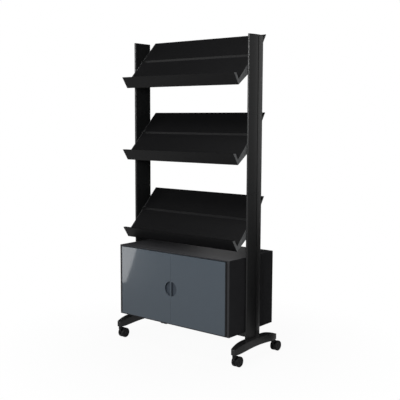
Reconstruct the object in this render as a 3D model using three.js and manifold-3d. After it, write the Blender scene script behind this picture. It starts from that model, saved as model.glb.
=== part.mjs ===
// Mobile periodical display rack: three slanted shelf trays above a two-door cabinet,
// carried by two posts on arched feet with swivelling twin-wheel casters.
// Millimetres, +Z up, front towards -Y, floor at Z = 0, origin under the middle of the rack.

import * as THREE from 'three';
import { mergeVertices } from 'three/addons/utils/BufferGeometryUtils.js';
import Module from 'manifold-3d';

const wasm = await Module();
wasm.setup();

// Fits
const seat = 0.3;
const boreClearance = 0.3;
const runningClearance = 0.5;
const roundSides = 24;
const smallRoundSides = 10;
const curveSteps = 6;
const weldTolerance = 1e-4;

// Clear width between the two posts
const spanBetweenPosts = 761.6;

// Casters
const wheelDiameter = 54;
const wheelWidth = 15;
const wheelShoulder = 1.5;
const wheelRimWidth = 6;
const wheelDish = 2;
const casterTrail = 26;
const casterPlateThickness = 8;
const casterPlateInset = 3;
const casterHeight = 67;
const casterBossDiameter = 22;
const casterBossHeight = 12;
const casterNeckWidth = 16;
const casterStemDiameter = 11;
const casterStemInFoot = 24;
const casterStemInBoss = 8;
const casterCollarDiameter = 20;
const casterCollarHeight = 3;
const axleDiameter = 6;

// Feet
const footLength = 378;
const footWidth = 44;
const footTipWidth = 28;
const footTipRadius = 8;
const footShoulderLength = 180;
const footPadHeight = 116;
const footPadLength = 136;
const footTipHeight = 97;
const footArchHeight = 78;
const footTipFlatLength = 34;
const footNoseRadius = 4;
const footOutset = 21.2;
const casterInset = 14;
const footSpigotHeight = 32;

// Posts
const postTopHeight = 1658;
const lowPostJoint = 864;
const highPostJoint = 1268;
const postJointGap = 0.9;
const postSole = 4;
const postPlug = 60;
const postDepth = 122;
const postThickness = 21;
const postNoseThickness = 13;
const postWall = 3;
const postGrooveSetback = 5;
const postGrooveWidth = 6;
const postGrooveDepth = 2;
const postCapThickness = 3;
const postCapPlug = 12;

// Shelves: height of each tray's lower edge above the floor, and the shared tray section
const lowShelfHeight = 581.5;
const middleShelfHeight = 1014;
const topShelfHeight = 1407.5;
const shelfReach = 130;
const lipHeight = 57.5;
const lipLeanDeg = 34;
const lipThickness = 15;
const foldHeight = 26.7;
const panelSlopeDeg = 45.4;
const panelLength = 329;
const ribFromTop = 150;
const ribRise = 11;
const traySheet = 2;
const returnLength = 45;
const gussetRun = 124;
const gussetRise = 86;
const bracketThickness = 4;

// Tie rail under the cabinet
const railWidth = 80;
const railHeight = 30;
const railSheet = 2.5;
const railEndPlate = 4;

// Cabinet
const cabinetBaseHeight = 152;
const cabinetHeight = 390.8;
const cabinetDepth = 386;
const sideThickness = 16;
const deckThickness = 6;
const backThickness = 6;

// Doors, pulls, hinges and catch
const doorThickness = 16;
const doorProud = 7.7;
const doorSeam = 0.6;
const doorEdgeGap = 1.5;
const hingeGap = 3;
const hingeAxisForward = 4;
const hingeEndMargin = 4;
const knuckleCount = 9;
const knuckleDiameter = 6;
const hingePinDiameter = 3;
const sideLeafWidth = 24;
const leafThickness = 1.2;
const pullDiameter = 81;
const pullBarWidth = 8;
const pullDepth = 10;
const pullWall = 1.5;
const catchWidth = 70;
const catchDepth = 14;
const catchHeight = 16;
const strikeWidth = 24;
const strikeHeight = 12;
const strikeThickness = 1.5;
const strikeFromSeam = 6;

// Places worked out from the sizes
const SIDES = [['left', -1], ['right', 1]];
const postInner = spanBetweenPosts / 2;
const bracketOuter = postInner - seat;
const bracketInner = bracketOuter - bracketThickness;
const cabinetHalf = postInner - seat;
const sideInner = cabinetHalf - sideThickness;
const cabinetFront = -cabinetDepth / 2;
const cabinetBack = cabinetDepth / 2;
const cabinetTop = cabinetBaseHeight + cabinetHeight;
const carcassLow = cabinetBaseHeight + deckThickness;
const carcassHigh = cabinetTop - deckThickness;
const doorFront = cabinetFront - doorProud;
const doorBack = doorFront + doorThickness;
const doorLow = carcassLow + doorEdgeGap;
const doorHigh = carcassHigh - doorEdgeGap;
const hingeX = sideInner - hingeGap / 2;
const hingeY = cabinetFront - hingeAxisForward;
const doorOuter = hingeX - knuckleDiameter / 2 - seat;
const hingeLow = doorLow + hingeEndMargin;
const hingeHigh = doorHigh - hingeEndMargin;
const knuckleLength = (hingeHigh - hingeLow) / knuckleCount;
const railTop = cabinetBaseHeight - seat;
const postBottom = footPadHeight + seat;
const postHigh = postTopHeight - postCapThickness - seat;
const postNoseCentre = (postDepth - postNoseThickness) / 2;
const postBulge = postThickness - postNoseThickness;
const postBulgeRadius = (postNoseCentre ** 2 + postBulge ** 2) / (2 * postBulge);
const postSections = [
  ['low', postBottom, lowPostJoint],
  ['middle', lowPostJoint + postJointGap, highPostJoint],
  ['top', highPostJoint + postJointGap, postHigh],
];
const footCentre = postInner + footOutset;
const casterReach = footLength / 2 - casterInset;
const shelfHeights = [['low', lowShelfHeight], ['middle', middleShelfHeight], ['top', topShelfHeight]];

// Finishes
const black = [0x1b1c1d, 0.45, 0.0];
const blackMetal = [0x2d2f30, 0.38, 0.2];
const shelfBlack = [0x1c1d1e, 0.42, 0.1];
const bracketGrey = [0x868789, 0.5, 0.1];
const carcassGrey = [0x4b4b4e, 0.45, 0.0];
const doorSlate = [0x4b555f, 0.12, 0.0];
const pullGrey = [0x363b43, 0.4, 0.0];
const steel = [0x8b8e92, 0.35, 0.9];

function part(name, geometry, [colour, roughness, metalness]) {
  const material = new THREE.MeshStandardMaterial({ color: colour, roughness, metalness });
  const mesh = new THREE.Mesh(geometry, material);
  mesh.name = name;
  return mesh;
}

// Solids: conversion between geometries and closed bodies that can be cut and joined

// Shell with shared corners and without the slivers that a lathe leaves on its axis
function welded(geometry) {
  const bare = geometry.clone();
  bare.deleteAttribute('normal');
  bare.deleteAttribute('uv');
  const shell = mergeVertices(bare, weldTolerance);
  const corners = Array.from(shell.index.array);
  const faces = [];
  for (let start = 0; start < corners.length; start += 3) {
    const [a, b, c] = corners.slice(start, start + 3);
    if (a !== b && b !== c && c !== a) {
      faces.push(a, b, c);
    }
  }
  shell.setIndex(faces);
  return shell;
}

function solid(geometry) {
  const shell = welded(geometry);
  const vertProperties = new Float32Array(shell.attributes.position.array);
  const triVerts = new Uint32Array(shell.index.array);
  return new wasm.Manifold(new wasm.Mesh({ numProp: 3, vertProperties, triVerts }));
}

function geometryOf(body) {
  const mesh = body.getMesh();
  const geometry = new THREE.BufferGeometry();
  geometry.setAttribute('position', new THREE.BufferAttribute(mesh.vertProperties, 3));
  geometry.setIndex(new THREE.BufferAttribute(mesh.triVerts, 1));
  geometry.computeVertexNormals();
  return geometry;
}

function cut(geometry, cutters) {
  const body = cutters.reduce((rest, cutter) => rest.subtract(solid(cutter)), solid(geometry));
  return geometryOf(body);
}

function join(geometries) {
  const body = geometries.map(solid).reduce((sum, next) => sum.add(next));
  return geometryOf(body);
}

// Basic forms placed in the rack's axes

function block(x0, x1, y0, y1, z0, z1) {
  const geometry = new THREE.BoxGeometry(x1 - x0, y1 - y0, z1 - z0);
  return geometry.translate((x0 + x1) / 2, (y0 + y1) / 2, (z0 + z1) / 2);
}

// Block that lies between two distances from the middle plane, on the given side
function sideBlock(side, near, far, y0, y1, z0, z1) {
  return side > 0 ? block(near, far, y0, y1, z0, z1) : block(-far, -near, y0, y1, z0, z1);
}

function prismUp(shape, z0, z1) {
  const options = { depth: z1 - z0, bevelEnabled: false, curveSegments: curveSteps };
  return new THREE.ExtrudeGeometry(shape, options).translate(0, 0, z0);
}

// Section drawn as (y, z), extruded along X
function prismAcross(shape, x0, x1) {
  const options = { depth: x1 - x0, bevelEnabled: false, curveSegments: curveSteps };
  const turn = new THREE.Matrix4().makeBasis(
    new THREE.Vector3(0, 1, 0),
    new THREE.Vector3(0, 0, 1),
    new THREE.Vector3(1, 0, 0),
  );
  return new THREE.ExtrudeGeometry(shape, options).applyMatrix4(turn).translate(x0, 0, 0);
}

// Section drawn as (x, z), extruded along Y
function prismBack(shape, y0, y1) {
  const options = { depth: y1 - y0, bevelEnabled: false, curveSegments: curveSteps };
  const turn = new THREE.Matrix4().makeBasis(
    new THREE.Vector3(1, 0, 0),
    new THREE.Vector3(0, 0, 1),
    new THREE.Vector3(0, -1, 0),
  );
  return new THREE.ExtrudeGeometry(shape, options).applyMatrix4(turn).translate(0, y1, 0);
}

function rodUp(radius, z0, z1, sides = smallRoundSides) {
  const geometry = new THREE.CylinderGeometry(radius, radius, z1 - z0, sides);
  return geometry.rotateX(Math.PI / 2).translate(0, 0, (z0 + z1) / 2);
}

function rodAcross(radius, x0, x1, sides = smallRoundSides) {
  const geometry = new THREE.CylinderGeometry(radius, radius, x1 - x0, sides);
  return geometry.rotateZ(Math.PI / 2).translate((x0 + x1) / 2, 0, 0);
}

// Shelf section, as (y, z) with z measured from the tray's lower edge

const lipLean = THREE.MathUtils.degToRad(lipLeanDeg);
const panelSlope = THREE.MathUtils.degToRad(panelSlopeDeg);

function lipPoint(height, depth) {
  return new THREE.Vector2(-shelfReach + depth / Math.cos(lipLean) - height * Math.tan(lipLean), height);
}

const trayFold = lipPoint(foldHeight, lipThickness);
const panelUp = new THREE.Vector2(Math.cos(panelSlope), Math.sin(panelSlope));
const panelBehind = new THREE.Vector2(panelUp.y, -panelUp.x);
const panelTop = trayFold.clone().addScaledVector(panelUp, panelLength);
const ribUpper = panelTop.clone().addScaledVector(panelUp, -ribFromTop);
const ribRun = ribRise / Math.tan(panelSlope);
const ribEdge = new THREE.Vector2(ribUpper.x - ribRun, ribUpper.y);
const ribLower = new THREE.Vector2(ribEdge.x, ribEdge.y - ribRise);
const trayEdge = lipPoint(0, 0);
const gussetCorner = new THREE.Vector2(trayEdge.x + gussetRun, gussetRise);
const gussetUp = gussetCorner.clone().sub(trayEdge).normalize();

// Visible faces of the tray, from the top of the panel round the lip to the lower edge
const trayFaces = [
  panelTop,
  ribUpper,
  ribEdge,
  ribLower,
  trayFold,
  lipPoint(lipHeight, lipThickness),
  lipPoint(lipHeight, 0),
  trayEdge,
];

// Outline of a sheet folded along the given faces, with its thickness on their hidden side
function foldedSheet(faces, thickness) {
  const hidden = faces.map((point, index) => {
    const before = index > 0 ? faces[index - 1] : null;
    const after = index < faces.length - 1 ? faces[index + 1] : null;
    const along = [before && point.clone().sub(before), after && after.clone().sub(point)]
      .filter(Boolean)
      .map((edge) => edge.normalize());
    const normals = along.map((edge) => new THREE.Vector2(-edge.y, edge.x));
    const mitre = normals.reduce((sum, normal) => sum.clone().add(normal)).normalize();
    return point.clone().addScaledVector(mitre, thickness / mitre.dot(normals[0]));
  });
  return new THREE.Shape([...faces, ...hidden.reverse()]);
}

function roundHole(x, y, diameter) {
  const path = new THREE.Path();
  path.absarc(x, y, diameter / 2, 0, 2 * Math.PI, true);
  return path;
}

function shelfParts() {
  const shelves = new THREE.Group();
  const returnEnd = trayEdge.clone().addScaledVector(gussetUp, returnLength);
  const trayShape = foldedSheet([...trayFaces, returnEnd], traySheet);
  const panelRear = panelTop.clone().addScaledVector(panelBehind, traySheet);
  const bracketShape = new THREE.Shape([...trayFaces, gussetCorner, panelRear]);
  const trayHalf = bracketInner - seat;
  for (const [level, height] of shelfHeights) {
    const shelf = new THREE.Group();
    shelf.position.z = height;
    shelf.add(part(`shelf_tray_${level}`, prismAcross(trayShape, -trayHalf, trayHalf), shelfBlack));
    for (const [hand, side] of SIDES) {
      const ends = [side * bracketInner, side * bracketOuter];
      const plate = prismAcross(bracketShape, Math.min(...ends), Math.max(...ends));
      shelf.add(part(`shelf_bracket_${level}_${hand}`, plate, bracketGrey));
    }
    shelves.add(shelf);
  }
  return shelves;
}

// Post section, as (x, y) with x measured outward from the inner face
function postOutline(side, inset) {
  const noseRadius = postNoseThickness / 2;
  const bulgeAngle = Math.asin(postNoseCentre / postBulgeRadius);
  const bulgeCentre = postThickness - inset - postBulgeRadius;
  const outline = new THREE.Path();
  outline.absarc(noseRadius, -postNoseCentre, noseRadius - inset, Math.PI, 2 * Math.PI, false);
  outline.absarc(bulgeCentre, 0, postBulgeRadius, -bulgeAngle, bulgeAngle, false);
  outline.absarc(noseRadius, postNoseCentre, noseRadius - inset, 0, Math.PI, false);
  const points = outline.getPoints(curveSteps).map(
    (point) => new THREE.Vector2(side * (postInner + point.x), point.y),
  );
  return side > 0 ? points : points.reverse();
}

// Groove along the outer face of a post, cut where the bulge has fallen back from its middle
function postGroove(side, low, high) {
  const drop = postBulgeRadius - Math.sqrt(postBulgeRadius ** 2 - postGrooveSetback ** 2);
  return sideBlock(
    side,
    postInner + postThickness - postGrooveDepth - drop,
    postInner + 2 * postThickness,
    postGrooveSetback - postGrooveWidth / 2,
    postGrooveSetback + postGrooveWidth / 2,
    low - seat,
    high + seat,
  );
}

// Posts in three lengths: each upper length has a sole and a plug that enters the length below
function postParts() {
  const posts = new THREE.Group();
  for (const [hand, side] of SIDES) {
    const section = new THREE.Shape(postOutline(side, 0));
    section.holes = [new THREE.Path(postOutline(side, postWall))];
    const fitted = new THREE.Shape(postOutline(side, postWall + boreClearance));
    const bedded = new THREE.Shape(postOutline(side, postWall / 2));
    for (const [level, low, high] of postSections) {
      const forms = [prismUp(section, low, high)];
      if (low > postBottom) {
        forms.push(prismUp(bedded, low, low + postSole));
        forms.push(prismUp(fitted, low - postPlug, low + postSole / 2));
      }
      const grooved = cut(join(forms), [postGroove(side, low, high)]);
      posts.add(part(`post_${level}_${hand}`, grooved, blackMetal));
    }
    const capLow = postHigh + seat;
    const capPlate = prismUp(new THREE.Shape(postOutline(side, 0)), capLow, capLow + postCapThickness);
    const capPlug = prismUp(fitted, capLow - postCapPlug, capLow + postCapThickness / 2);
    posts.add(part(`post_cap_${hand}`, join([capPlate, capPlug]), black));
  }
  return posts;
}

// Foot seen from the side, as (y, z)
function footSide() {
  const half = footLength / 2;
  const padHalf = footPadLength / 2;
  const tipLow = casterHeight + seat;
  const tipFlat = half - footTipFlatLength;
  const noseLow = footTipHeight - 2 * footNoseRadius;
  const shape = new THREE.Shape();
  shape.moveTo(-padHalf, footPadHeight);
  shape.quadraticCurveTo(-(padHalf + half) / 2, footPadHeight, -half + footNoseRadius, footTipHeight);
  shape.quadraticCurveTo(-half, footTipHeight - footNoseRadius / 2, -half, noseLow);
  shape.lineTo(-half, tipLow);
  shape.lineTo(-tipFlat, tipLow);
  shape.quadraticCurveTo(-padHalf, footArchHeight, 0, footArchHeight);
  shape.quadraticCurveTo(padHalf, footArchHeight, tipFlat, tipLow);
  shape.lineTo(half, tipLow);
  shape.lineTo(half, noseLow);
  shape.quadraticCurveTo(half, footTipHeight - footNoseRadius / 2, half - footNoseRadius, footTipHeight);
  shape.quadraticCurveTo((padHalf + half) / 2, footPadHeight, padHalf, footPadHeight);
  return shape;
}

// Foot seen from above, as (x, y)
function footPlan() {
  const half = footLength / 2;
  const tip = footTipWidth / 2;
  const wide = footWidth / 2;
  const shoulder = footShoulderLength / 2;
  const shape = new THREE.Shape();
  shape.moveTo(wide, -shoulder);
  shape.lineTo(wide, shoulder);
  shape.quadraticCurveTo(wide, (shoulder + half) / 2, tip, half - footTipRadius);
  shape.quadraticCurveTo(tip, half, tip - footTipRadius, half);
  shape.lineTo(-tip + footTipRadius, half);
  shape.quadraticCurveTo(-tip, half, -tip, half - footTipRadius);
  shape.quadraticCurveTo(-wide, (shoulder + half) / 2, -wide, shoulder);
  shape.lineTo(-wide, -shoulder);
  shape.quadraticCurveTo(-wide, -(shoulder + half) / 2, -tip, -half + footTipRadius);
  shape.quadraticCurveTo(-tip, -half, -tip + footTipRadius, -half);
  shape.lineTo(tip - footTipRadius, -half);
  shape.quadraticCurveTo(tip, -half, tip, -half + footTipRadius);
  shape.quadraticCurveTo(wide, -(shoulder + half) / 2, wide, -shoulder);
  return shape;
}

function footParts() {
  const feet = new THREE.Group();
  const sideForm = prismAcross(footSide(), -footWidth, footWidth);
  const planForm = prismUp(footPlan(), 0, 2 * footPadHeight);
  const blank = geometryOf(solid(sideForm).intersect(solid(planForm)));
  const stemBores = [-casterReach, casterReach].map((y) => rodUp(
    casterStemDiameter / 2 + boreClearance,
    0,
    casterHeight + casterStemInFoot + seat,
  ).translate(0, y, 0));
  for (const [hand, side] of SIDES) {
    const spigotShape = new THREE.Shape(postOutline(side, postWall + boreClearance));
    const spigot = prismUp(spigotShape, footArchHeight, footPadHeight + footSpigotHeight);
    spigot.translate(-side * footCentre, 0, 0);
    const foot = part(`foot_${hand}`, cut(join([blank, spigot]), stemBores), blackMetal);
    foot.position.x = side * footCentre;
    feet.add(foot);
  }
  return feet;
}

// Casters, drawn round the swivel axis with the wheels trailing towards the back

function wheelForm(side) {
  const radius = wheelDiameter / 2 / Math.cos(Math.PI / roundSides);
  const bore = axleDiameter / 2 + boreClearance;
  const rim = radius - wheelRimWidth;
  const profile = [
    new THREE.Vector2(bore, 0),
    new THREE.Vector2(radius - wheelShoulder, 0),
    new THREE.Vector2(radius, wheelShoulder),
    new THREE.Vector2(radius, wheelWidth - 2 * wheelShoulder),
    new THREE.Vector2(radius - 2 * wheelShoulder, wheelWidth),
    new THREE.Vector2(rim, wheelWidth),
    new THREE.Vector2(rim - wheelDish, wheelWidth - wheelDish),
    new THREE.Vector2(bore, wheelWidth - wheelDish),
    new THREE.Vector2(bore, 0),
  ];
  const lathe = new THREE.LatheGeometry(profile, roundSides);
  return lathe.rotateY(Math.PI / roundSides).rotateZ(-side * Math.PI / 2);
}

// Round plate between the two wheels, with a neck that rises to the boss on the swivel axis
function casterHousing() {
  const wheelRadius = wheelDiameter / 2;
  const plateRadius = wheelRadius - casterPlateInset;
  const plateHalf = casterPlateThickness / 2;
  const bossTop = casterHeight - casterCollarHeight - 2 * seat;
  const bossLow = bossTop - casterBossHeight;
  const neckTop = bossLow + casterBossHeight / 4 - wheelRadius;
  const plateShape = new THREE.Shape().absarc(0, 0, plateRadius, 0, 2 * Math.PI, false);
  plateShape.holes = [roundHole(0, 0, axleDiameter + 2 * boreClearance)];
  const neckShape = new THREE.Shape([
    new THREE.Vector2(-casterTrail - casterNeckWidth / 2, neckTop),
    new THREE.Vector2(casterPlateInset - plateRadius, 0),
    new THREE.Vector2(-axleDiameter, plateRadius - casterPlateInset),
    new THREE.Vector2(-casterTrail + casterNeckWidth / 2, neckTop),
  ]);
  const plate = prismAcross(plateShape, -plateHalf, plateHalf);
  const neck = prismAcross(neckShape, -plateHalf, plateHalf);
  for (const form of [plate, neck]) {
    form.translate(0, casterTrail, wheelRadius);
  }
  const boss = rodUp(casterBossDiameter / 2, bossLow, bossTop, roundSides / 2);
  const boreLow = bossTop - casterStemInBoss - seat;
  const bore = rodUp(casterStemDiameter / 2 + boreClearance, boreLow, casterHeight);
  return cut(join([plate, neck, boss]), [bore]);
}

function casterStem() {
  const radius = casterStemDiameter / 2;
  const collarRadius = casterCollarDiameter / 2;
  const collarTop = casterHeight - seat / 2;
  const collarLow = collarTop - casterCollarHeight;
  const profile = [
    new THREE.Vector2(0, collarLow - casterStemInBoss),
    new THREE.Vector2(radius, collarLow - casterStemInBoss),
    new THREE.Vector2(radius, collarLow),
    new THREE.Vector2(collarRadius, collarLow),
    new THREE.Vector2(collarRadius, collarTop),
    new THREE.Vector2(radius, collarTop),
    new THREE.Vector2(radius, casterHeight + casterStemInFoot),
    new THREE.Vector2(0, casterHeight + casterStemInFoot),
  ];
  return new THREE.LatheGeometry(profile, smallRoundSides).rotateX(Math.PI / 2);
}

function casterParts() {
  const casters = new THREE.Group();
  const housing = casterHousing();
  const stem = casterStem();
  const plateHalf = casterPlateThickness / 2;
  const axleHalf = plateHalf + runningClearance + wheelWidth - wheelDish;
  for (const [end, along] of [['front', -1], ['rear', 1]]) {
    for (const [hand, side] of SIDES) {
      const caster = new THREE.Group();
      caster.position.set(side * footCentre, along * casterReach, 0);
      caster.add(part(`caster_stem_${end}_${hand}`, stem, steel));
      caster.add(part(`caster_housing_${end}_${hand}`, housing, black));
      const axle = rodAcross(axleDiameter / 2, -axleHalf, axleHalf);
      const running = new THREE.Group();
      running.position.set(0, casterTrail, wheelDiameter / 2);
      running.add(part(`caster_axle_${end}_${hand}`, axle, steel));
      for (const [wheelHand, wheelSide] of SIDES) {
        const wheel = part(`caster_wheel_${end}_${hand}_${wheelHand}`, wheelForm(wheelSide), black);
        wheel.position.x = wheelSide * (plateHalf + runningClearance);
        running.add(wheel);
      }
      caster.add(running);
      casters.add(caster);
    }
  }
  return casters;
}

// Tie rail: a channel open downwards with a plate at each end
function railParts() {
  const rails = new THREE.Group();
  const half = railWidth / 2;
  const low = railTop - railHeight;
  const end = postInner - seat;
  const section = new THREE.Shape([
    new THREE.Vector2(-half, low),
    new THREE.Vector2(-half, railTop),
    new THREE.Vector2(half, railTop),
    new THREE.Vector2(half, low),
    new THREE.Vector2(half - railSheet, low),
    new THREE.Vector2(half - railSheet, railTop - railSheet),
    new THREE.Vector2(-half + railSheet, railTop - railSheet),
    new THREE.Vector2(-half + railSheet, low),
  ]);
  const channel = prismAcross(section, -end, end);
  const plates = SIDES.map(
    ([, side]) => sideBlock(side, end - railEndPlate, end, -half, half, low, railTop),
  );
  rails.add(part('tie_rail', join([channel, ...plates]), blackMetal));
  return rails;
}

function cabinetParts() {
  const cabinet = new THREE.Group();
  const low = carcassLow + seat;
  const high = carcassHigh - seat;
  for (const [hand, side] of SIDES) {
    const board = sideBlock(side, sideInner, cabinetHalf, cabinetFront, cabinetBack, low, high);
    cabinet.add(part(`cabinet_side_${hand}`, board, carcassGrey));
  }
  const deck = (z0, z1) => block(-cabinetHalf, cabinetHalf, cabinetFront, cabinetBack, z0, z1);
  cabinet.add(part('cabinet_top', deck(carcassHigh, cabinetTop), carcassGrey));
  cabinet.add(part('cabinet_bottom', deck(cabinetBaseHeight, carcassLow), carcassGrey));
  const backHalf = sideInner - seat;
  const back = block(-backHalf, backHalf, cabinetBack - backThickness, cabinetBack, low, high);
  cabinet.add(part('cabinet_back', back, carcassGrey));
  const catchTop = carcassHigh - seat;
  const catchFront = doorBack + seat + strikeThickness + runningClearance;
  const catchBody = block(
    -catchWidth / 2,
    catchWidth / 2,
    catchFront,
    catchFront + catchDepth,
    catchTop - catchHeight,
    catchTop,
  );
  cabinet.add(part('magnetic_catch', catchBody, black));
  return cabinet;
}

// Half-moon beside the seam, as (x, z) round the middle of the door front
function halfMoon(side, inset) {
  const radius = pullDiameter / 2 - inset;
  const reach = Math.acos((pullBarWidth / 2 + inset) / radius);
  const arc = new THREE.Path();
  arc.absarc(0, 0, radius, -reach, reach, false);
  const points = arc.getPoints(2 * curveSteps);
  return new THREE.Shape(points.map((point) => new THREE.Vector2(side * point.x, point.y)));
}

// Continuous hinge: the even knuckles belong to the side leaf and the odd ones to the door leaf

function hingeRod(side, radius, z0, z1) {
  return rodUp(radius, z0, z1, roundSides / 2).translate(side * hingeX, hingeY, 0);
}

function hingeLeaf(side, plate, parity) {
  const knuckle = knuckleDiameter / 2;
  const order = [...Array(knuckleCount).keys()];
  const rod = (index, radius, margin) => hingeRod(
    side,
    radius,
    hingeLow + index * knuckleLength - margin,
    hingeLow + (index + 1) * knuckleLength + margin,
  );
  const own = order.filter((index) => index % 2 === parity);
  const other = order.filter((index) => index % 2 !== parity);
  const leaf = cut(plate, other.map((index) => rod(index, knuckle + boreClearance, seat / 2)));
  const body = join([leaf, ...own.map((index) => rod(index, knuckle, -seat / 2))]);
  return cut(body, [hingeRod(side, hingePinDiameter / 2 + boreClearance, doorLow, doorHigh)]);
}

function hingeParts() {
  const hinges = new THREE.Group();
  for (const [hand, side] of SIDES) {
    const sidePlate = sideBlock(
      side,
      sideInner - seat - leafThickness,
      sideInner - seat,
      hingeY,
      hingeY + sideLeafWidth,
      hingeLow,
      hingeHigh,
    );
    const doorPlate = sideBlock(
      side,
      doorOuter + seat,
      doorOuter + seat + leafThickness,
      hingeY,
      doorBack,
      hingeLow,
      hingeHigh,
    );
    const pin = hingeRod(side, hingePinDiameter / 2, hingeLow, hingeHigh);
    hinges.add(part(`hinge_side_leaf_${hand}`, hingeLeaf(side, sidePlate, 0), steel));
    hinges.add(part(`hinge_door_leaf_${hand}`, hingeLeaf(side, doorPlate, 1), steel));
    hinges.add(part(`hinge_pin_${hand}`, pin, steel));
  }
  return hinges;
}

function doorParts() {
  const doors = new THREE.Group();
  const pullHeight = (doorLow + doorHigh) / 2;
  const cupBack = doorFront + pullDepth + pullWall;
  for (const [hand, side] of SIDES) {
    const panel = sideBlock(side, doorSeam / 2, doorOuter, doorFront, doorBack, doorLow, doorHigh);
    const pocket = prismBack(halfMoon(side, 0), doorFront - seat, cupBack + seat);
    doors.add(part(`door_${hand}`, cut(panel, [pocket.translate(0, 0, pullHeight)]), doorSlate));
    const cup = prismBack(halfMoon(side, boreClearance), doorFront, cupBack);
    const hollowShape = halfMoon(side, boreClearance + pullWall);
    const hollow = prismBack(hollowShape, doorFront - seat, doorFront + pullDepth);
    doors.add(part(`pull_cup_${hand}`, cut(cup, [hollow]).translate(0, 0, pullHeight), pullGrey));
    const strikeHigh = carcassHigh - seat - (catchHeight - strikeHeight) / 2;
    const strike = sideBlock(
      side,
      strikeFromSeam,
      strikeFromSeam + strikeWidth,
      doorBack + seat,
      doorBack + seat + strikeThickness,
      strikeHigh - strikeHeight,
      strikeHigh,
    );
    doors.add(part(`strike_plate_${hand}`, strike, steel));
  }
  return doors;
}

const rack = new THREE.Group();
rack.add(
  postParts(),
  footParts(),
  casterParts(),
  railParts(),
  shelfParts(),
  cabinetParts(),
  doorParts(),
  hingeParts(),
);

// The origin lies under the middle of the whole rack
const bounds = new THREE.Box3().setFromObject(rack);
rack.position.y = -(bounds.min.y + bounds.max.y) / 2;

export default rack;
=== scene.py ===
"""Looks of a mobile periodical display rack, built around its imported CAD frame."""

import math
from collections import namedtuple

import bmesh
import bpy
from bpy.props import FloatProperty, FloatVectorProperty, PointerProperty
from mathutils import Matrix, Vector


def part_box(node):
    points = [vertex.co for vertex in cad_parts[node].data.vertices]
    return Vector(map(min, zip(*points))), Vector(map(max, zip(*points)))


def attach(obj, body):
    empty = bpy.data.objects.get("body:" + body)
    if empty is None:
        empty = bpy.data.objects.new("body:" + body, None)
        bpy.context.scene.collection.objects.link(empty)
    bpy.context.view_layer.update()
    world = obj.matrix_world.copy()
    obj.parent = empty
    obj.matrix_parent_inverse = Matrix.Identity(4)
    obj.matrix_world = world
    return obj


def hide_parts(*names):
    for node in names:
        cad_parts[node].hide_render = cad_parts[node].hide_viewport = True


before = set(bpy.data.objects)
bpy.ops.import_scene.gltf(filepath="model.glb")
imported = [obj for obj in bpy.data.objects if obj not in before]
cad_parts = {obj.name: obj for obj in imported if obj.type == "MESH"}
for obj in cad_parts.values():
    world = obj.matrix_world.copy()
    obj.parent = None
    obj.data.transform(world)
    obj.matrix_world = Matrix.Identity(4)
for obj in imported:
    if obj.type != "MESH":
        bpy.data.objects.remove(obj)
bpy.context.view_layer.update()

bl_info = {
    "name": "Periodical Display Rack",
    "version": (1, 0, 0),
    "blender": (4, 5, 0),
    "location": "View3D > Sidebar > Rack",
    "description": "Dresses the CAD frame of a mobile periodical display rack",
    "category": "Object",
}

MM = 0.001

FIXED_BODY = "rack"
HANDS = (("left", -1), ("right", 1))
ENDS = ("front", "rear")
LEVELS = ("low", "middle", "top")

# Mesh work: how near corners are joined, how flat faces are joined, and the fold that counts as an edge

WELD_REACH = 0.01 * MM
FLAT_ANGLE = math.radians(0.3)
EDGE_ANGLE = math.radians(40.0)

# Screw heads, as shares of radius and height: the rounds of the crown, and the socket's radius and floor

SCREW_SIDES = 24
SCREW_CROWN = ((1.0, 0.0), (1.0, 0.35), (0.9, 0.75), (0.7, 1.0))
SOCKET_SHARE = 0.5
SOCKET_FLOOR = 0.35

# Seats of screws and bolts. Bracket screws: behind and above the low front corner of the end plate.

RAIL_END_PLATE = 4.0 * MM
FOOT_UNDERSIDE = 77.8 * MM
FOOT_BOLT_SPREAD = 25.0 * MM
BRACKET_SCREWS = ((162.8 * MM, 118.0 * MM), (210.8 * MM, 180.0 * MM))
CABINET_BOLT_SPREAD = 30.0 * MM
CABINET_BOLT_RISES = (80.0 * MM, 300.0 * MM)
HINGE_SCREW_ROWS = 6
HINGE_SCREW_EDGE = 6.0 * MM

# Caster wheels. A cut is the middle point of a rounded corner, in from its radius and from the nearer face.

WHEEL_SIDES = 64
BORE_RADIUS = 3.3 * MM
WHEEL_INNER_ROUND = 1.5 * MM
WHEEL_INNER_CUT = 0.4 * MM
WHEEL_OUTER_ROUND = 3.0 * MM
WHEEL_OUTER_CUT = (0.9 * MM, 1.2 * MM)
GROOVE_MIDDLE = 7.5 * MM
GROOVE_DEPTH = 0.7 * MM
GROOVE_HALF_FLOOR = 0.5 * MM
GROOVE_HALF_MOUTH = 0.9 * MM
RIM_WIDTH = 6.0 * MM
RIM_CUT = (0.8 * MM, 0.6 * MM)
RIM_SLOPE = 1.4 * MM
DISH_DEPTH = 1.9 * MM
HUB_RADIUS = 8.0 * MM
HUB_WALL = 1.7 * MM
HUB_CUT = (0.6 * MM, 0.9 * MM)
HUB_CROWN = (3.0 * MM, 0.4 * MM)
HUB_TOP = 0.3 * MM

# Grain of the finishes: noise scales, contrast of the colour, height of the relief, spread of the roughness

Grain = namedtuple("Grain", "blotch_scale contrast relief_scale relief_height spread")

COAT_GRAIN = Grain(60.0, 0.10, 1400.0, 0.06 * MM, 0.05)
LAMINATE_GRAIN = Grain(35.0, 0.08, 2200.0, 0.04 * MM, 0.05)
LACQUER_GRAIN = Grain(18.0, 0.04, 160.0, 0.02 * MM, 0.03)
PLASTIC_GRAIN = Grain(80.0, 0.10, 2600.0, 0.05 * MM, 0.06)
PLATING_GRAIN = Grain(240.0, 0.12, 3000.0, 0.02 * MM, 0.08)
LEAST_ROUGHNESS = 0.02

# End plates carry painted light on their sideways faces: the sideways part of the normal on a cut edge and
# on a painted-light face, and the cut edge's share of the colour, which is near the plate's own dark paint

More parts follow.
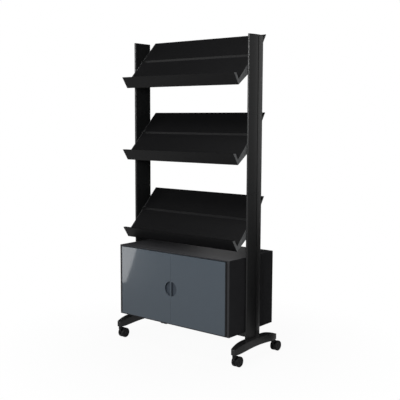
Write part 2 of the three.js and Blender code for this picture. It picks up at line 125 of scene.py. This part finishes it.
CUT_EDGE_NORMAL = 0.5
PAINTED_LIGHT_FACE_NORMAL = 0.9
DARK_PAINT_SHARE = 0.05

# Studio, in metres. The floor turns from nearly to fully white over a range of distances from the rack,
# and reflections see a share of the white floor and surround.

WHITE = (1.0, 1.0, 1.0, 1.0)
FLOOR_REACH = 14.0
FLOOR_FADE_START = 0.4
FLOOR_FADE_END = 1.2
FLOOR_WHITE_NEAR = 0.95
FLOOR_WHITE_FAR = 1.0
FLOOR_MIRRORED = 0.4
SURROUND_AMBIENT = 0.06
SURROUND_MIRRORED = 0.75

# Softboxes: place, width, and whether reflections see it

LAMP_AIM = Vector((0.0, 0.0, 0.8))
SOFTBOXES = {
    "key": ((0.95, -3.6, 1.9), 0.8, True),
    "fill": ((-2.6, -3.2, 2.2), 1.6, True),
    "top": ((0.0, -1.3, 3.2), 1.0, True),
    "rear": ((0.0, 3.6, 1.6), 1.6, False),
}

# Studio cards, which only reflections see: corners and brightness. Five are black. The right foot mirrors
# the bright floor card, and the left door mirrors the bright front card.

OVERHEAD_FLAG = ((-4.2, -2.2, 2.6), (-0.6, -2.2, 4.6), (-0.6, 2.2, 4.6), (-4.2, 2.2, 2.6))
REAR_FLAG = ((-0.1, 0.6, 0.02), (0.42, 0.6, 0.02), (0.42, 0.6, 2.6), (-0.1, 0.6, 2.6))
LEFT_FLAG = ((-2.6, 1.2, 0.02), (-0.95, 1.2, 0.02), (-0.95, 1.2, 2.6), (-2.6, 1.2, 2.6))
POST_FLAG = ((-0.36, 0.25, 0.85), (0.12, 0.25, 0.85), (0.12, 0.25, 2.6), (-0.36, 0.25, 2.6))
FLOOR_FLAG = ((0.5, 0.27, 0.01), (4.0, 0.27, 0.01), (5.0, 5.0, 0.01), (0.6, 5.0, 0.01))
FLOOR_CARD = ((0.46, -0.20, 0.012), (0.80, -0.20, 0.012), (0.80, 0.12, 0.012), (0.46, 0.12, 0.012))
FRONT_CARD = ((-1.50, -1.2, 0.02), (-1.315, -1.2, 0.02), (-1.18, -1.2, 0.33), (-1.50, -1.2, 0.36))
CARDS = {
    "overhead_flag": (OVERHEAD_FLAG, 0.0),
    "rear_flag": (REAR_FLAG, 0.0),
    "left_flag": (LEFT_FLAG, 0.0),
    "post_flag": (POST_FLAG, 0.0),
    "floor_flag": (FLOOR_FLAG, 0.0),
    "floor_card": (FLOOR_CARD, 0.55),
    "front_card": (FRONT_CARD, 5.0),
}

# Camera: place in metres, turn in degrees about X, Y and Z, sensor in millimetres

CAMERA_PLACE = (2.5146, -3.0674, 1.2389)
CAMERA_TURN = (83.717, -0.215, 39.104)
SENSOR_WIDTH = 36.0


def colour_property(label, description, default):
    return FloatVectorProperty(
        name=label,
        description=description,
        subtype="COLOR",
        size=3,
        min=0.0,
        max=1.0,
        default=default,
    )


def length_property(label, description, default):
    return FloatProperty(
        name=label,
        description=description,
        unit="LENGTH",
        min=0.0,
        precision=5,
        default=default,
    )


def power_property(label, description, default):
    return FloatProperty(
        name=label,
        description=description,
        unit="POWER",
        min=0.0,
        default=default,
    )


class RackColours(bpy.types.PropertyGroup):
    """Colours of the rack's finishes"""

    post: colour_property("Posts", "Satin coat of posts and tie rail", (0.0065, 0.0068, 0.007))
    foot: colour_property("Feet", "Satin coat of the feet", (0.007, 0.0072, 0.0075))
    shelf: colour_property("Trays", "Powder coat of the shelf trays", (0.0042, 0.0042, 0.0045))
    # The brackets' colour is mostly painted light, the bright tone of the plates' sideways faces; their cut
    # edges keep a small share of it, near the dark paint
    bracket: colour_property("Brackets", "Powder coat of the shelf end plates", (0.240, 0.245, 0.250))
    carcass: colour_property("Cabinet", "Laminate of the cabinet boards", (0.030, 0.030, 0.032))
    worktop: colour_property("Cabinet Top", "Laminate of the cabinet's top", (0.027, 0.027, 0.029))
    door: colour_property("Doors", "Lacquer of the two doors", (0.031, 0.044, 0.058))
    pull: colour_property("Pulls", "Moulding of the recessed pulls", (0.034, 0.042, 0.053))
    moulding: colour_property("Mouldings", "Caps, catch and caster housings", (0.005, 0.005, 0.0053))
    tread: colour_property("Wheels", "Moulding of the caster wheels", (0.005, 0.005, 0.0053))
    black_steel: colour_property("Black Steel", "Coat of hinges and caster stems", (0.016, 0.016, 0.017))
    plating: colour_property("Plating", "Zinc plating of steel pieces", (0.55, 0.56, 0.58))
    floor: colour_property("Floor", "Studio floor", (0.46, 0.46, 0.46))


class RackSizes(bpy.types.PropertyGroup):
    """Sizes of edges and small fasteners"""

    board_edge: length_property("Board Edge", "Rounding of board edges", 0.8 * MM)
    sheet_edge: length_property("Sheet Edge", "Rounding of posts, sheet metal and pulls", 0.4 * MM)
    casting_edge: length_property("Casting Edge", "Rounding of the cast feet", 2.0 * MM)
    moulding_edge: length_property("Moulding Edge", "Rounding of moulded pieces", 0.6 * MM)
    hinge_edge: length_property("Hinge Edge", "Rounding of doors, hinges and small steel", 0.15 * MM)
    screw_radius: length_property("Screw Radius", "Head radius of a screw or bolt", 5.0 * MM)
    screw_height: length_property("Screw Height", "Head height of a screw or bolt", 2.6 * MM)
    hinge_screw_radius: length_property("Hinge Screw Radius", "Head radius of a hinge screw", 2.6 * MM)
    hinge_screw_height: length_property("Hinge Screw Height", "Head height of a hinge screw", 0.7 * MM)


class RackStage(bpy.types.PropertyGroup):
    """Lens and lamps of the studio"""

    lens: FloatProperty(name="Lens", description="Focal length", unit="CAMERA", default=66.063)
    key_power: power_property("Key", "Power of the key softbox", 118.0)
    fill_power: power_property("Fill", "Power of the fill softbox", 32.0)
    top_power: power_property("Top", "Power of the top softbox", 34.0)
    rear_power: power_property("Rear", "Power of the rear softbox", 70.0)


# Materials


def node_material(name):
    material = bpy.data.materials.new(name)
    material.use_nodes = True
    return material


def add_node(tree, kind, **values):
    node = tree.nodes.new(kind)
    for label, value in values.items():
        node.inputs[label.replace("_", " ")].default_value = value
    return node


def math_node(tree, operation, factor=None):
    node = tree.nodes.new("ShaderNodeMath")
    node.operation = operation
    if factor is not None:
        node.inputs[1].default_value = factor
    return node


def vector_node(tree, operation):
    node = tree.nodes.new("ShaderNodeVectorMath")
    node.operation = operation
    return node


def surface_finish(name, colour, roughness, specular, grain):
    """Finish whose colour, gloss and relief vary with noise."""
    material = node_material(name)
    tree = material.node_tree
    shader = tree.nodes["Principled BSDF"]
    shader.inputs["Specular IOR Level"].default_value = specular
    place = tree.nodes.new("ShaderNodeTexCoord")
    blotch = add_node(tree, "ShaderNodeTexNoise", Scale=grain.blotch_scale, Detail=5.0, Roughness=0.6)
    tint = add_node(tree, "ShaderNodeMapRange", To_Min=1.0 - grain.contrast, To_Max=1.0 + grain.contrast)
    shade = vector_node(tree, "SCALE")
    shade.inputs[0].default_value = colour
    gloss = tree.nodes.new("ShaderNodeMapRange")
    gloss.inputs["To Min"].default_value = max(LEAST_ROUGHNESS, roughness - grain.spread)
    gloss.inputs["To Max"].default_value = min(1.0, roughness + grain.spread)
    relief = add_node(tree, "ShaderNodeTexNoise", Scale=grain.relief_scale, Detail=3.0, Roughness=0.55)
    bump = add_node(tree, "ShaderNodeBump", Strength=1.0, Distance=grain.relief_height)
    links = tree.links
    links.new(place.outputs["Object"], blotch.inputs["Vector"])
    links.new(place.outputs["Object"], relief.inputs["Vector"])
    links.new(blotch.outputs["Fac"], tint.inputs["Value"])
    links.new(blotch.outputs["Fac"], gloss.inputs["Value"])
    links.new(tint.outputs["Result"], shade.inputs["Scale"])
    links.new(shade.outputs["Vector"], shader.inputs["Base Color"])
    links.new(gloss.outputs["Result"], shader.inputs["Roughness"])
    links.new(relief.outputs["Fac"], bump.inputs["Height"])
    links.new(bump.outputs["Normal"], shader.inputs["Normal"])
    return material, shader


def powder_coat(name, colour):
    return surface_finish(name, colour, roughness=0.42, specular=0.12, grain=COAT_GRAIN)[0]


def satin_coat(name, colour):
    return surface_finish(name, colour, roughness=0.34, specular=0.32, grain=COAT_GRAIN)[0]


def painted_light_end_plate_coat(name, colour):
    """Coat with painted light: bright on the plate's sideways faces, as if lit there, and dark on its cut
    edges, near the plate's own paint.
    """
    material, shader = surface_finish(name, colour, roughness=0.42, specular=0.12, grain=COAT_GRAIN)
    tree = material.node_tree
    tinted = shader.inputs["Base Color"].links[0].from_socket
    # Painted light: full colour on faces that look sideways, falling to a small share on the cut edges
    place = tree.nodes.new("ShaderNodeTexCoord")
    parts = tree.nodes.new("ShaderNodeSeparateXYZ")
    across = math_node(tree, "ABSOLUTE")
    share = add_node(
        tree,
        "ShaderNodeMapRange",
        From_Min=CUT_EDGE_NORMAL,
        From_Max=PAINTED_LIGHT_FACE_NORMAL,
        To_Min=DARK_PAINT_SHARE,
        To_Max=1.0,
    )
    shade = vector_node(tree, "SCALE")
    links = tree.links
    links.new(place.outputs["Normal"], parts.inputs["Vector"])
    links.new(parts.outputs["X"], across.inputs[0])
    links.new(across.outputs["Value"], share.inputs["Value"])
    links.new(tinted, shade.inputs[0])
    links.new(share.outputs["Result"], shade.inputs["Scale"])
    links.new(shade.outputs["Vector"], shader.inputs["Base Color"])
    return material


def laminate(name, colour):
    return surface_finish(name, colour, roughness=0.50, specular=0.03, grain=LAMINATE_GRAIN)[0]


def sheen_laminate(name, colour):
    return surface_finish(name, colour, roughness=0.50, specular=0.10, grain=LAMINATE_GRAIN)[0]


def gloss_lacquer(name, colour):
    material, shader = surface_finish(name, colour, roughness=0.30, specular=0.3, grain=LACQUER_GRAIN)
    shader.inputs["Coat Weight"].default_value = 0.7
    shader.inputs["Coat Roughness"].default_value = 0.05
    return material


def moulded_plastic(name, colour):
    return surface_finish(name, colour, roughness=0.45, specular=0.14, grain=PLASTIC_GRAIN)[0]


def zinc_plating(name, colour):
    material, shader = surface_finish(name, colour, roughness=0.34, specular=0.5, grain=PLATING_GRAIN)
    shader.inputs["Metallic"].default_value = 1.0
    return material


FINISH_MAKERS = {
    "post": satin_coat,
    "foot": satin_coat,
    "shelf": powder_coat,
    # The brackets' finish paints light on the end plates' sideways faces
    "bracket": painted_light_end_plate_coat,
    "carcass": laminate,
    "worktop": sheen_laminate,
    "door": gloss_lacquer,
    "pull": moulded_plastic,
    "moulding": moulded_plastic,
    "tread": moulded_plastic,
    "black_steel": powder_coat,
    "plating": zinc_plating,
}
FINISHES = {}


def finish_of(key):
    """Material of a finish, made once from the scene's colours."""
    if key not in FINISHES:
        colour = tuple(getattr(bpy.context.scene.rack_colours, key))
        FINISHES[key] = FINISH_MAKERS[key](f"{key}_finish", colour)
    return FINISHES[key]


def floor_finish(colour):
    """Matt floor that the camera sees as nearly white and reflections see as partly white."""
    material = node_material("floor_finish")
    tree = material.node_tree
    shader = tree.nodes["Principled BSDF"]
    shader.inputs["Base Color"].default_value = (*colour, 1.0)
    shader.inputs["Roughness"].default_value = 0.9
    shader.inputs["Specular IOR Level"].default_value = 0.0
    glow = add_node(tree, "ShaderNodeEmission", Strength=1.0)
    seen = tree.nodes.new("ShaderNodeLightPath")
    place = tree.nodes.new("ShaderNodeTexCoord")
    distance = vector_node(tree, "LENGTH")
    fade = add_node(
        tree,
        "ShaderNodeMapRange",
        From_Min=FLOOR_FADE_START,
        From_Max=FLOOR_FADE_END,
        To_Min=FLOOR_WHITE_NEAR,
        To_Max=FLOOR_WHITE_FAR,
    )
    direct = math_node(tree, "MULTIPLY")
    mirrored = math_node(tree, "MULTIPLY", FLOOR_MIRRORED)
    share = math_node(tree, "MAXIMUM")
    mix = tree.nodes.new("ShaderNodeMixShader")
    links = tree.links
    links.new(place.outputs["Object"], distance.inputs[0])
    links.new(distance.outputs["Value"], fade.inputs["Value"])
    links.new(seen.outputs["Is Camera Ray"], direct.inputs[0])
    links.new(fade.outputs["Result"], direct.inputs[1])
    links.new(seen.outputs["Is Glossy Ray"], mirrored.inputs[0])
    links.new(direct.outputs["Value"], share.inputs[0])
    links.new(mirrored.outputs["Value"], share.inputs[1])
    links.new(share.outputs["Value"], mix.inputs["Fac"])
    links.new(shader.outputs["BSDF"], mix.inputs[1])
    links.new(glow.outputs["Emission"], mix.inputs[2])
    links.new(mix.outputs["Shader"], tree.nodes["Material Output"].inputs["Surface"])
    return material


def card_finish(name, strength):
    """Even glow of a studio card; a strength of zero is black."""
    material = node_material(name)
    tree = material.node_tree
    glow = add_node(tree, "ShaderNodeEmission", Strength=strength)
    tree.links.new(glow.outputs["Emission"], tree.nodes["Material Output"].inputs["Surface"])
    return material


# Shared mesh work


def shading_tree():
    """Modifier group that smooths shallow folds and keeps real corners sharp."""
    name = "soften_shallow_folds"
    if name in bpy.data.node_groups:
        return bpy.data.node_groups[name]
    tree = bpy.data.node_groups.new(name, "GeometryNodeTree")
    tree.interface.new_socket("Geometry", in_out="INPUT", socket_type="NodeSocketGeometry")
    tree.interface.new_socket("Geometry", in_out="OUTPUT", socket_type="NodeSocketGeometry")
    entry = tree.nodes.new("NodeGroupInput")
    leave = tree.nodes.new("NodeGroupOutput")
    faces = tree.nodes.new("GeometryNodeSetShadeSmooth")
    edges = tree.nodes.new("GeometryNodeSetShadeSmooth")
    edges.domain = "EDGE"
    fold = tree.nodes.new("GeometryNodeInputMeshEdgeAngle")
    shallow = tree.nodes.new("FunctionNodeCompare")
    shallow.operation = "LESS_THAN"
    shallow.inputs[1].default_value = EDGE_ANGLE
    links = tree.links
    links.new(entry.outputs["Geometry"], faces.inputs["Geometry"])
    links.new(faces.outputs["Geometry"], edges.inputs["Geometry"])
    links.new(fold.outputs["Unsigned Angle"], shallow.inputs[0])
    links.new(shallow.outputs["Result"], edges.inputs["Shade Smooth"])
    links.new(edges.outputs["Geometry"], leave.inputs["Geometry"])
    return tree


def smooth_shading(piece):
    shading = piece.modifiers.new("soft_shading", "NODES")
    shading.node_group = shading_tree()


def soften(piece, edge, segments):
    """Rounds the sharp edges of a piece with modifiers and smooths its curved faces."""
    weld = piece.modifiers.new("shared_corners", "WELD")
    weld.merge_threshold = WELD_REACH
    flat = piece.modifiers.new("whole_faces", "DECIMATE")
    flat.decimate_type = "DISSOLVE"
    flat.angle_limit = FLAT_ANGLE
    bevel = piece.modifiers.new("rounded_edges", "BEVEL")
    bevel.limit_method = "ANGLE"
    bevel.angle_limit = EDGE_ANGLE
    bevel.width = edge
    bevel.segments = segments
    smooth_shading(piece)
    normals = piece.modifiers.new("flat_faces", "WEIGHTED_NORMAL")
    normals.keep_sharp = True
    normals.weight = 100


def paint(piece, material):
    piece.data.materials.clear()
    piece.data.materials.append(material)


def dress(node, key, edge, segments=2):
    """Gives a CAD node its finish and rounded edges."""
    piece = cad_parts[node]
    paint(piece, finish_of(key))
    soften(piece, edge, segments)


def mesh_object(name, builder):
    """New object of the scene from a bmesh, which it uses up."""
    mesh = bpy.data.meshes.new(name)
    builder.normal_update()
    builder.to_mesh(mesh)
    builder.free()
    piece = bpy.data.objects.new(name, mesh)
    bpy.context.scene.collection.objects.link(piece)
    return piece


def mesh_piece(name, builder, key, body):
    """New smooth piece from a bmesh, with finish and the body it rides on."""
    piece = mesh_object(name, builder)
    paint(piece, finish_of(key))
    smooth_shading(piece)
    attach(piece, body)
    return piece


def flat_sheet(name, corners):
    builder = bmesh.new()
    builder.faces.new([builder.verts.new(corner) for corner in corners])
    return mesh_object(name, builder)


def add_ring(builder, turn, level, radii):
    """Evenly spaced ring of corners about local Z, each at its own radius."""
    ring = []
    for step, radius in enumerate(radii):
        angle = 2.0 * math.pi * step / len(radii)
        corner = Vector((radius * math.cos(angle), radius * math.sin(angle), level))
        ring.append(builder.verts.new(turn @ corner))
    return ring


def bridge(builder, lower, upper):
    """Faces between two rings with the same number of corners."""
    for index, corner in enumerate(lower):
        after = (index + 1) % len(lower)
        builder.faces.new((corner, lower[after], upper[after], upper[index]))


def spun_form(builder, profile, sides, turn):
    """Closed form of revolution about local Z; the profile's ends lie on the axis."""
    first = builder.verts.new(turn @ Vector((0.0, 0.0, profile[0][1])))
    last = builder.verts.new(turn @ Vector((0.0, 0.0, profile[-1][1])))
    rings = [add_ring(builder, turn, level, [radius] * sides) for radius, level in profile[1:-1]]
    for lower, upper in zip(rings, rings[1:]):
        bridge(builder, lower, upper)
    for index in range(sides):
        after = (index + 1) % sides
        builder.faces.new((first, rings[0][after], rings[0][index]))
        builder.faces.new((last, rings[-1][index], rings[-1][after]))


def hexagon_radii(radius, sides):
    """Distances from the middle of a hexagon to its sides, in evenly spaced directions."""
    half_side = math.pi / 6.0
    radii = []
    for step in range(sides):
        angle = 2.0 * math.pi * step / sides
        off_middle = angle % (2.0 * half_side) - half_side
        radii.append(radius * math.cos(half_side) / math.cos(off_middle))
    return radii


def screw_head(builder, seat, outward, radius, height):
    """Button head with a hexagon socket, standing on its seat."""
    turn = Matrix.Translation(seat) @ outward.to_track_quat("Z", "Y").to_matrix().to_4x4()
    rings = []
    for reach, rise in SCREW_CROWN:
        rings.append(add_ring(builder, turn, rise * height, [reach * radius] * SCREW_SIDES))
    socket = hexagon_radii(SOCKET_SHARE * radius, SCREW_SIDES)
    for level in (height, SOCKET_FLOOR * height):
        rings.append(add_ring(builder, turn, level, socket))
    for lower, upper in zip(rings, rings[1:]):
        bridge(builder, lower, upper)
    builder.faces.new(list(reversed(rings[0])))
    builder.faces.new(rings[-1])


def screw_row(name, seats, outward, radius, height):
    """One piece of screw heads that ride the fixed body."""
    builder = bmesh.new()
    for seat in seats:
        screw_head(builder, Vector(seat), Vector(outward), radius, height)
    mesh_piece(name, builder, "plating", FIXED_BODY)


def wheel_profile(radius, width):
    """Half section of a wheel, as radius and height above its inner face.

    It runs from the end of the blind bore over the grooved tread and the dished outer face to the hub's top.
    """
    tread_inner_edge = radius - WHEEL_INNER_ROUND
    tread_outer_edge = radius - WHEEL_OUTER_ROUND
    bore_end = width - HUB_WALL
    groove_floor = radius - GROOVE_DEPTH
    rim = radius - RIM_WIDTH
    dish = width - DISH_DEPTH
    return [
        (0.0, bore_end),
        (BORE_RADIUS, bore_end),
        (BORE_RADIUS, 0.0),
        (tread_inner_edge, 0.0),
        (radius - WHEEL_INNER_CUT, WHEEL_INNER_CUT),
        (radius, WHEEL_INNER_ROUND),
        (radius, GROOVE_MIDDLE - GROOVE_HALF_MOUTH),
        (groove_floor, GROOVE_MIDDLE - GROOVE_HALF_FLOOR),
        (groove_floor, GROOVE_MIDDLE + GROOVE_HALF_FLOOR),
        (radius, GROOVE_MIDDLE + GROOVE_HALF_MOUTH),
        (radius, width - WHEEL_OUTER_ROUND),
        (radius - WHEEL_OUTER_CUT[0], width - WHEEL_OUTER_CUT[1]),
        (tread_outer_edge, width),
        (rim, width),
        (rim - RIM_CUT[0], width - RIM_CUT[1]),
        (rim - RIM_SLOPE, dish),
        (HUB_RADIUS, dish),
        (HUB_RADIUS - HUB_CUT[0], width - HUB_CUT[1]),
        (HUB_RADIUS - HUB_CROWN[0], width - HUB_CROWN[1]),
        (0.0, width - HUB_TOP),
    ]


def middle(node):
    low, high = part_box(node)
    return (low + high) / 2.0


# Operators


class RACK_OT_posts(bpy.types.Operator):
    """Dress the posts, their caps and the tie rail"""

    bl_idname = "rack.posts"
    bl_label = "Posts"

    def execute(self, context):
        sizes = context.scene.rack_sizes
        for hand, _ in HANDS:
            for level in LEVELS:
                dress(f"post_{level}_{hand}", "post", sizes.sheet_edge)
            dress(f"post_cap_{hand}", "moulding", sizes.moulding_edge)
        dress("tie_rail", "post", sizes.sheet_edge)
        low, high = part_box("tie_rail")
        centre = middle("tie_rail")
        spread = (high.y - low.y) / 4.0
        for hand, side in HANDS:
            face = side * (high.x - RAIL_END_PLATE)
            seats = [(face, centre.y + offset, centre.z) for offset in (-spread, spread)]
            screw_row(f"rail_screws_{hand}", seats, (-side, 0, 0), sizes.screw_radius, sizes.screw_height)
        return {"FINISHED"}


class RACK_OT_feet(bpy.types.Operator):
    """Dress the arched feet and put bolt heads under them"""

    bl_idname = "rack.feet"
    bl_label = "Feet"

    def execute(self, context):
        sizes = context.scene.rack_sizes
        for hand, _ in HANDS:
            foot = f"foot_{hand}"
            dress(foot, "foot", sizes.casting_edge, segments=3)
            centre = middle(foot)
            seats = [
                (centre.x, centre.y + offset, FOOT_UNDERSIDE)
                for offset in (-FOOT_BOLT_SPREAD, FOOT_BOLT_SPREAD)
            ]
            screw_row(f"foot_bolts_{hand}", seats, (0, 0, -1), sizes.screw_radius, sizes.screw_height)
        return {"FINISHED"}


class RACK_OT_casters(bpy.types.Operator):
    """Dress the caster housings and make wheels with tread and hub"""

    bl_idname = "rack.casters"
    bl_label = "Casters"

    def execute(self, context):
        sizes = context.scene.rack_sizes
        for end in ENDS:
            for hand, _ in HANDS:
                dress(f"caster_housing_{end}_{hand}", "moulding", sizes.moulding_edge)
                dress(f"caster_stem_{end}_{hand}", "black_steel", sizes.hinge_edge)
                dress(f"caster_axle_{end}_{hand}", "plating", sizes.hinge_edge)
                for wheel_hand, side in HANDS:
                    self.wheel(f"{end}_{hand}_{wheel_hand}", side)
        return {"FINISHED"}

    def wheel(self, place, side):
        node = f"caster_wheel_{place}"
        low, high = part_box(node)
        centre = middle(node)
        profile = wheel_profile((high.z - low.z) / 2.0, high.x - low.x)
        inner = Vector((low.x if side > 0 else high.x, centre.y, centre.z))
        turn = Matrix.Translation(inner) @ Matrix.Rotation(side * math.pi / 2.0, 4, "Y")
        builder = bmesh.new()
        spun_form(builder, profile, WHEEL_SIDES, turn)
        bmesh.ops.recalc_face_normals(builder, faces=builder.faces)
        piece = mesh_piece(f"wheel_{place}", builder, "tread", f"{place}_wheel")
        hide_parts(node)


class RACK_OT_shelves(bpy.types.Operator):
    """Dress the trays and end plates and put screws inside the plates"""

    bl_idname = "rack.shelves"
    bl_label = "Shelves"

    def execute(self, context):
        sizes = context.scene.rack_sizes
        for level in LEVELS:
            dress(f"shelf_tray_{level}", "shelf", sizes.sheet_edge)
            for hand, side in HANDS:
                bracket = f"shelf_bracket_{level}_{hand}"
                # End plates: painted light on their sideways faces, dark paint on their cut edges
                dress(bracket, "bracket", sizes.sheet_edge)
                low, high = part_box(bracket)
                face = low.x if side > 0 else high.x
                seats = [(face, low.y + behind, low.z + above) for behind, above in BRACKET_SCREWS]
                name = f"bracket_screws_{level}_{hand}"
                screw_row(name, seats, (-side, 0, 0), sizes.screw_radius, sizes.screw_height)
        return {"FINISHED"}


class RACK_OT_cabinet(bpy.types.Operator):
    """Dress the cabinet boards and the catch and put bolts inside"""

    bl_idname = "rack.cabinet"
    bl_label = "Cabinet"

    def execute(self, context):
        sizes = context.scene.rack_sizes
        dress("cabinet_top", "worktop", sizes.board_edge)
        for board in ("side_left", "side_right", "bottom", "back"):
            dress(f"cabinet_{board}", "carcass", sizes.board_edge)
        dress("magnetic_catch", "moulding", sizes.moulding_edge)
        post = middle("post_low_right").y
        for hand, side in HANDS:
            low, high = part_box(f"cabinet_side_{hand}")
            face = low.x if side > 0 else high.x
            seats = [
                (face, post + along, low.z + rise)
                for along in (-CABINET_BOLT_SPREAD, CABINET_BOLT_SPREAD)
                for rise in CABINET_BOLT_RISES
            ]
            name = f"cabinet_bolts_{hand}"
            screw_row(name, seats, (-side, 0, 0), sizes.screw_radius, sizes.screw_height)
        return {"FINISHED"}


class RACK_OT_doors(bpy.types.Operator):
    """Dress the doors, pulls, strikes and hinges"""

    bl_idname = "rack.doors"
    bl_label = "Doors"

    def execute(self, context):
        sizes = context.scene.rack_sizes
        for hand, side in HANDS:
            dress(f"door_{hand}", "door", sizes.hinge_edge, segments=3)
            dress(f"pull_cup_{hand}", "pull", sizes.sheet_edge)
            dress(f"strike_plate_{hand}", "plating", sizes.hinge_edge)
            leaf = f"hinge_side_leaf_{hand}"
            for node in (leaf, f"hinge_door_leaf_{hand}", f"hinge_pin_{hand}"):
                dress(node, "black_steel", sizes.hinge_edge)
            low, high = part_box(leaf)
            # The knuckles reach as far to both sides of the plate's inner face
            face = middle(leaf).x
            pitch = (high.z - low.z) / HINGE_SCREW_ROWS
            seats = [
                (face, high.y - HINGE_SCREW_EDGE, low.z + (row + 0.5) * pitch)
                for row in range(HINGE_SCREW_ROWS)
            ]
            name = f"hinge_screws_{hand}"
            screw_row(name, seats, (-side, 0, 0), sizes.hinge_screw_radius, sizes.hinge_screw_height)
        return {"FINISHED"}


class RACK_OT_stage(bpy.types.Operator):
    """Make floor, surround, lamps, cards and camera"""

    bl_idname = "rack.stage"
    bl_label = "Stage"

    def execute(self, context):
        scene = context.scene
        settings = scene.rack_stage
        scene.view_settings.view_transform = "Standard"
        self.floor(tuple(scene.rack_colours.floor))
        self.surround(scene)
        for name, (place, width, mirrored) in SOFTBOXES.items():
            power = getattr(settings, f"{name}_power")
            self.lamp(scene, f"{name}_softbox", place, width, power, mirrored)
        for name, (corners, strength) in CARDS.items():
            self.card(name, corners, strength)
        self.camera(scene, settings.lens)
        return {"FINISHED"}

    def floor(self, colour):
        reach = FLOOR_REACH
        corners = ((-reach, -reach, 0.0), (reach, -reach, 0.0), (reach, reach, 0.0), (-reach, reach, 0.0))
        floor = flat_sheet("studio_floor", corners)
        paint(floor, floor_finish(colour))

    def surround(self, scene):
        world = bpy.data.worlds.new("studio_surround")
        scene.world = world
        world.use_nodes = True
        tree = world.node_tree
        ambient = tree.nodes["Background"]
        ambient.inputs["Color"].default_value = WHITE
        ambient.inputs["Strength"].default_value = SURROUND_AMBIENT
        white = add_node(tree, "ShaderNodeBackground", Color=WHITE, Strength=1.0)
        seen = tree.nodes.new("ShaderNodeLightPath")
        mirrored = math_node(tree, "MULTIPLY", SURROUND_MIRRORED)
        direct = math_node(tree, "MAXIMUM")
        either = math_node(tree, "MAXIMUM")
        mix = tree.nodes.new("ShaderNodeMixShader")
        links = tree.links
        links.new(seen.outputs["Is Glossy Ray"], mirrored.inputs[0])
        links.new(seen.outputs["Is Camera Ray"], direct.inputs[0])
        links.new(mirrored.outputs["Value"], direct.inputs[1])
        links.new(direct.outputs["Value"], either.inputs[0])
        links.new(seen.outputs["Is Transmission Ray"], either.inputs[1])
        links.new(either.outputs["Value"], mix.inputs["Fac"])
        links.new(ambient.outputs["Background"], mix.inputs[1])
        links.new(white.outputs["Background"], mix.inputs[2])
        links.new(mix.outputs["Shader"], tree.nodes["World Output"].inputs["Surface"])

    def card(self, name, corners, strength):
        """Studio card that only reflections see."""
        card = flat_sheet(name, corners)
        paint(card, card_finish(f"{name}_finish", strength))
        card.visible_camera = False
        card.visible_diffuse = False
        card.visible_transmission = False
        card.visible_shadow = False

    def lamp(self, scene, name, place, width, power, mirrored):
        light = bpy.data.lights.new(name, "AREA")
        light.size = width
        light.energy = power
        lamp = bpy.data.objects.new(name, light)
        lamp.location = place
        aim = LAMP_AIM - Vector(place)
        lamp.rotation_euler = aim.to_track_quat("-Z", "Y").to_euler()
        lamp.visible_glossy = mirrored
        scene.collection.objects.link(lamp)

    def camera(self, scene, lens):
        data = bpy.data.cameras.new("studio_camera")
        data.lens = lens
        data.sensor_width = SENSOR_WIDTH
        camera = bpy.data.objects.new("studio_camera", data)
        camera.location = CAMERA_PLACE
        camera.rotation_euler = [math.radians(angle) for angle in CAMERA_TURN]
        scene.collection.objects.link(camera)
        scene.camera = camera


class RACK_PT_sidebar(bpy.types.Panel):
    """Colours, sizes and steps of the rack"""

    bl_label = "Display Rack"
    bl_idname = "RACK_PT_sidebar"
    bl_space_type = "VIEW_3D"
    bl_region_type = "UI"
    bl_category = "Rack"

    def draw(self, context):
        layout = self.layout
        for settings in (context.scene.rack_colours, context.scene.rack_sizes, context.scene.rack_stage):
            box = layout.box()
            for key in settings.__annotations__:
                box.prop(settings, key)
        for step in STEPS:
            layout.operator(step.bl_idname)


GROUPS = (RackColours, RackSizes, RackStage)
STEPS = (
    RACK_OT_posts,
    RACK_OT_feet,
    RACK_OT_casters,
    RACK_OT_shelves,
    RACK_OT_cabinet,
    RACK_OT_doors,
    RACK_OT_stage,
)


def register():
    for kind in (*GROUPS, *STEPS, RACK_PT_sidebar):
        bpy.utils.register_class(kind)
    bpy.types.Scene.rack_colours = PointerProperty(type=RackColours)
    bpy.types.Scene.rack_sizes = PointerProperty(type=RackSizes)
    bpy.types.Scene.rack_stage = PointerProperty(type=RackStage)


def unregister():
    del bpy.types.Scene.rack_stage
    del bpy.types.Scene.rack_sizes
    del bpy.types.Scene.rack_colours
    for kind in reversed((*GROUPS, *STEPS, RACK_PT_sidebar)):
        bpy.utils.unregister_class(kind)


def main():
    register()
    bpy.ops.rack.posts()
    bpy.ops.rack.feet()
    bpy.ops.rack.casters()
    bpy.ops.rack.shelves()
    bpy.ops.rack.cabinet()
    bpy.ops.rack.doors()
    bpy.ops.rack.stage()


if __name__ == "__main__":
    main()
